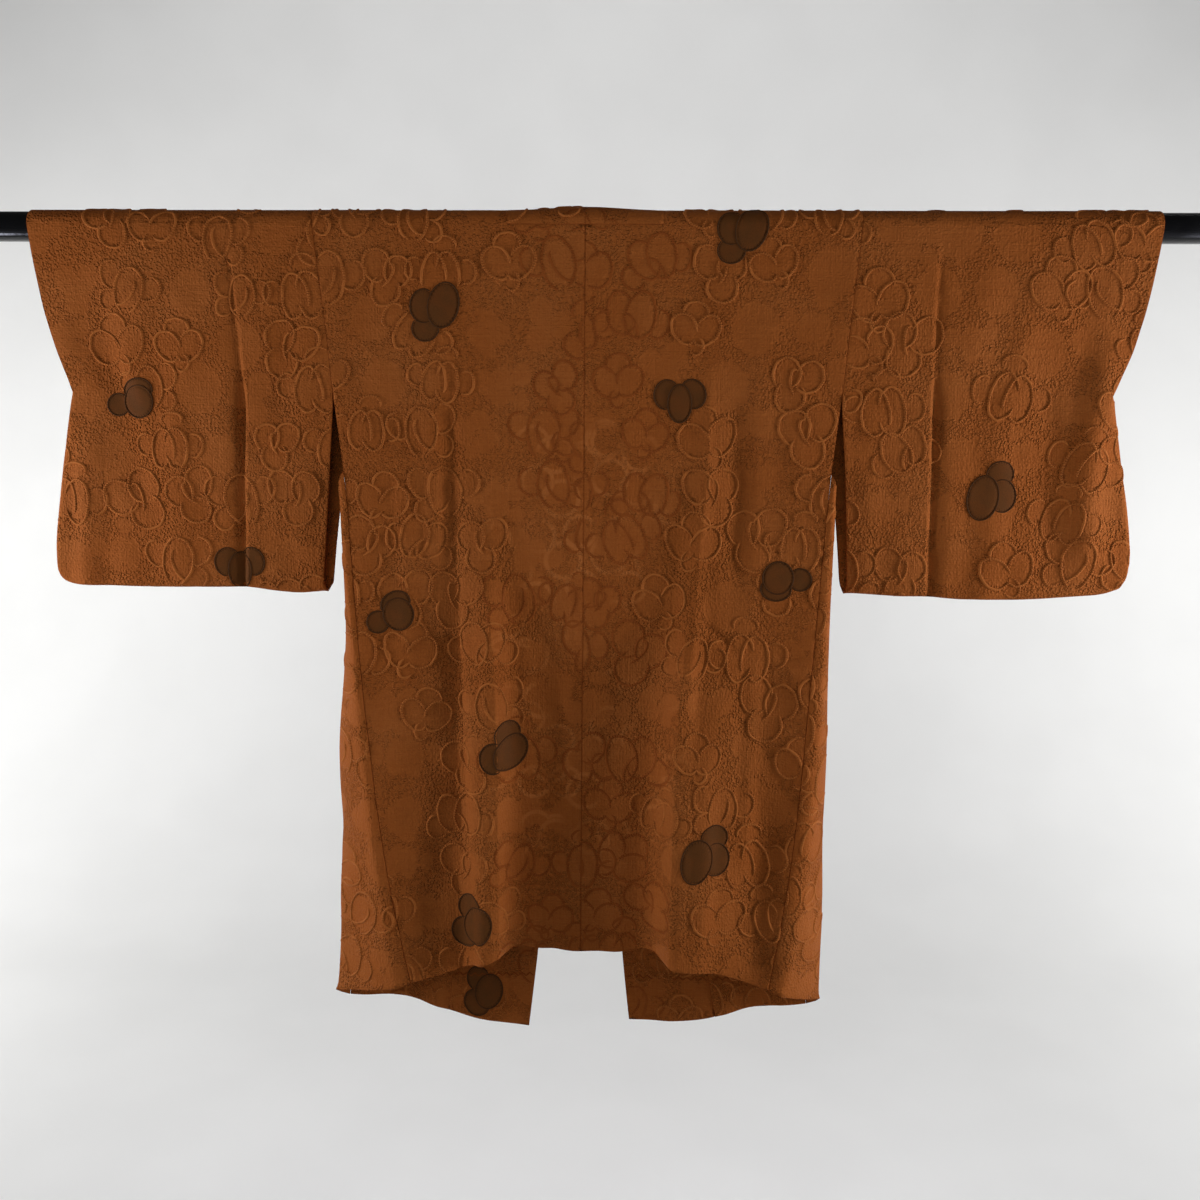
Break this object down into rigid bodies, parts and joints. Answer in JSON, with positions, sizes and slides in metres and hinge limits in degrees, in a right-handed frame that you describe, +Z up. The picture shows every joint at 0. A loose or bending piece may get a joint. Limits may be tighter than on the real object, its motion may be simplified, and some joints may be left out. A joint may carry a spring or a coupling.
{
  "type": "kimono coat on a rod",
  "caption": "Kimono coat of the haori kind, hung by its sleeves on a round rod, with open fronts, square sleeves, side gussets and a plain collar band.",
  "frame": {"origin": "on the rod's axis, half way along the rod", "axes": "+X along the rod to the wearer's right, +Z up, the coat's back faces -Y"},
  "size_m": [1.44, 0.1216, 1.0156],
  "materials": {
    "rust_silk": "rust brown figured silk with a crinkled ground, raised petal outlines and dark olive brown blossoms",
    "black_rod": "glossy black"
  },
  "bodies": {
    "root": {"body_left": "rust_silk", "body_right": "rust_silk", "sleeve_left": "rust_silk", "sleeve_right": "rust_silk", "gusset_left": "rust_silk", "gusset_right": "rust_silk", "collar_band": "rust_silk", "rod": "black_rod"}
  },
  "joints": []
}
